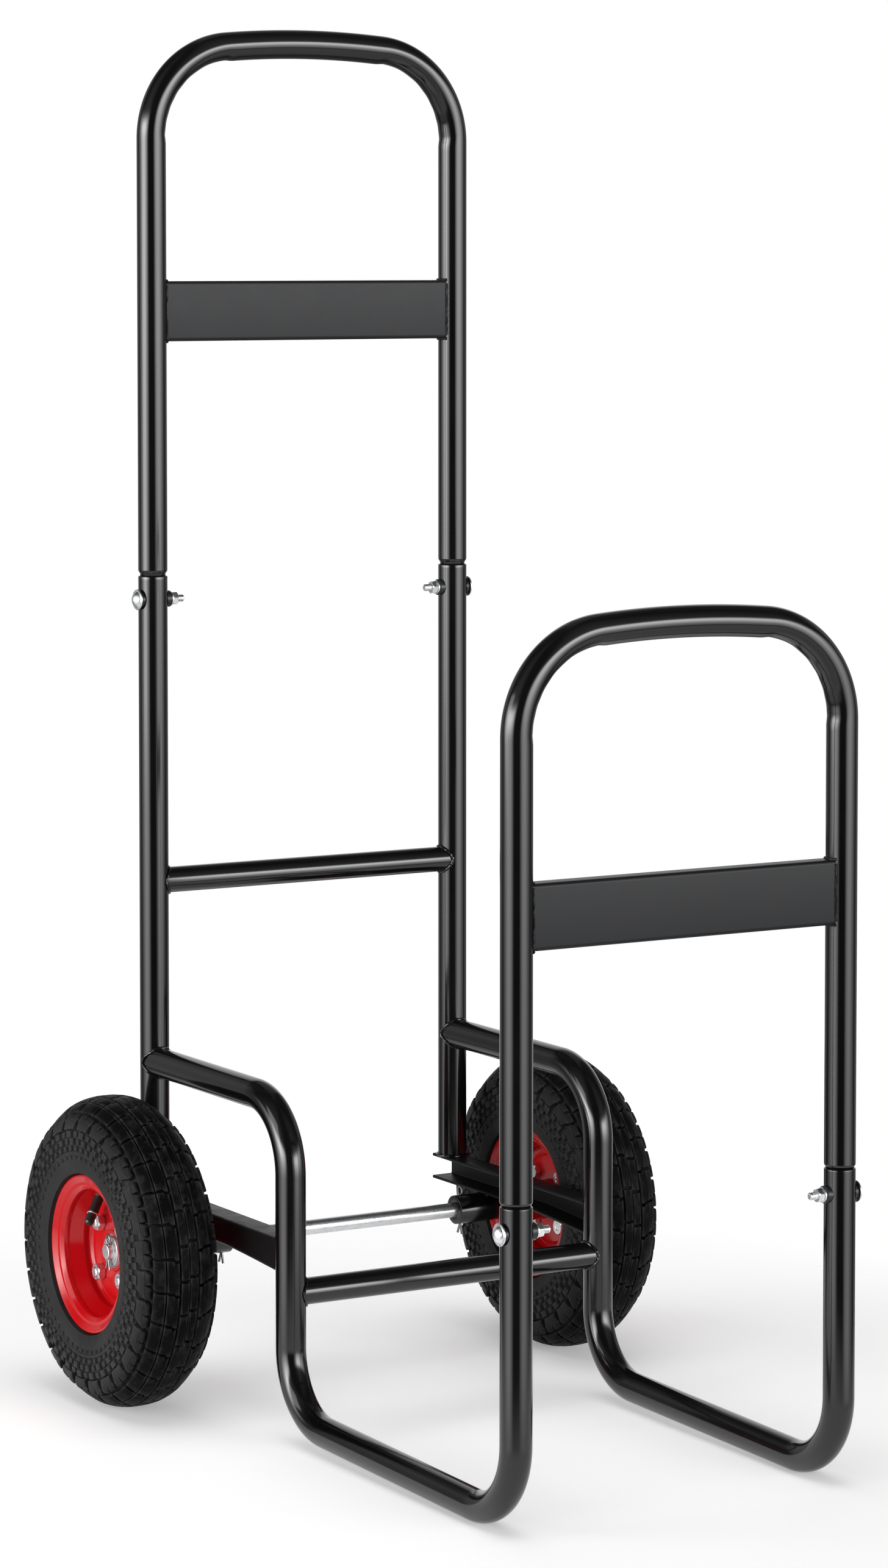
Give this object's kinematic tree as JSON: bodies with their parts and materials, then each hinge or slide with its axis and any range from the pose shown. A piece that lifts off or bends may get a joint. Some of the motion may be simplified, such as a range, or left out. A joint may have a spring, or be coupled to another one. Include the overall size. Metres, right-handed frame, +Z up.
{
  "type": "fireside log cart",
  "caption": "Fireside log cart of bent tube with a tall push handle, a front hoop, a low log bay with a raised step over the axle, and pneumatic wheels.",
  "frame": {"origin": "on the floor under the middle of the cart's bounding box", "axes": "+Z up; +Y from the front hoop towards the push handle and wheels; X runs along the axle, with the left wheel at -X as seen by someone standing in front of the hoop"},
  "size_m": [0.502, 0.6704, 1.1559],
  "materials": {
    "black_paint": "smooth semi-gloss black powder coat",
    "plate_paint": "smooth satin black powder coat",
    "zinc": "bright zinc plate",
    "bearing_steel": "ground bearing steel",
    "tyre_rubber": "moulded black tyre rubber",
    "tube_rubber": "smooth black butyl rubber",
    "rim_paint": "gloss red enamel",
    "cap_plastic": "moulded black plastic"
  },
  "bodies": {
    "frame": {"left_side_frame": "black_paint", "right_side_frame": "black_paint", "left_rear_upright": "black_paint", "right_rear_upright": "black_paint", "left_axle_bracket": "black_paint", "right_axle_bracket": "black_paint", "left_axle_sleeve": "black_paint", "right_axle_sleeve": "black_paint", "lower_cross_tube": "black_paint", "back_cross_tube": "black_paint", "push_handle": "black_paint", "handle_plate": "plate_paint", "front_hoop": "black_paint", "front_plate": "plate_paint", "joint_bolts": "zinc", "joint_saddles": "cap_plastic", "joint_washers": "zinc", "joint_nuts": "zinc", "axle": "zinc", "axle_washers": "zinc", "axle_cotter_pins": "zinc", "left_bearing_inner_rings": "bearing_steel", "right_bearing_inner_rings": "bearing_steel"},
    "left_wheel": {"left_tyre": "tyre_rubber", "left_inner_tube": "tube_rubber", "left_outer_rim_half": "rim_paint", "left_inner_rim_half": "rim_paint", "left_hub": "rim_paint", "left_bearing_outer_rings": "bearing_steel", "left_bearing_balls": "bearing_steel", "left_rim_bolts": "zinc", "left_rim_nuts": "zinc", "left_valve_stem": "tube_rubber", "left_valve_cap": "cap_plastic"},
    "right_wheel": {"right_tyre": "tyre_rubber", "right_inner_tube": "tube_rubber", "right_outer_rim_half": "rim_paint", "right_inner_rim_half": "rim_paint", "right_hub": "rim_paint", "right_bearing_outer_rings": "bearing_steel", "right_bearing_balls": "bearing_steel", "right_rim_bolts": "zinc", "right_rim_nuts": "zinc", "right_valve_stem": "tube_rubber", "right_valve_cap": "cap_plastic"}
  },
  "joints": [
    {"name": "left_wheel_spin", "type": "hinge", "parent": "frame", "child": "left_wheel", "pos_m": [-0.215, 0.20525, 0.13], "axis": [1, 0, 0], "continuous": true},
    {"name": "right_wheel_spin", "type": "hinge", "parent": "frame", "child": "right_wheel", "pos_m": [0.215, 0.20525, 0.13], "axis": [1, 0, 0], "continuous": true}
  ]
}
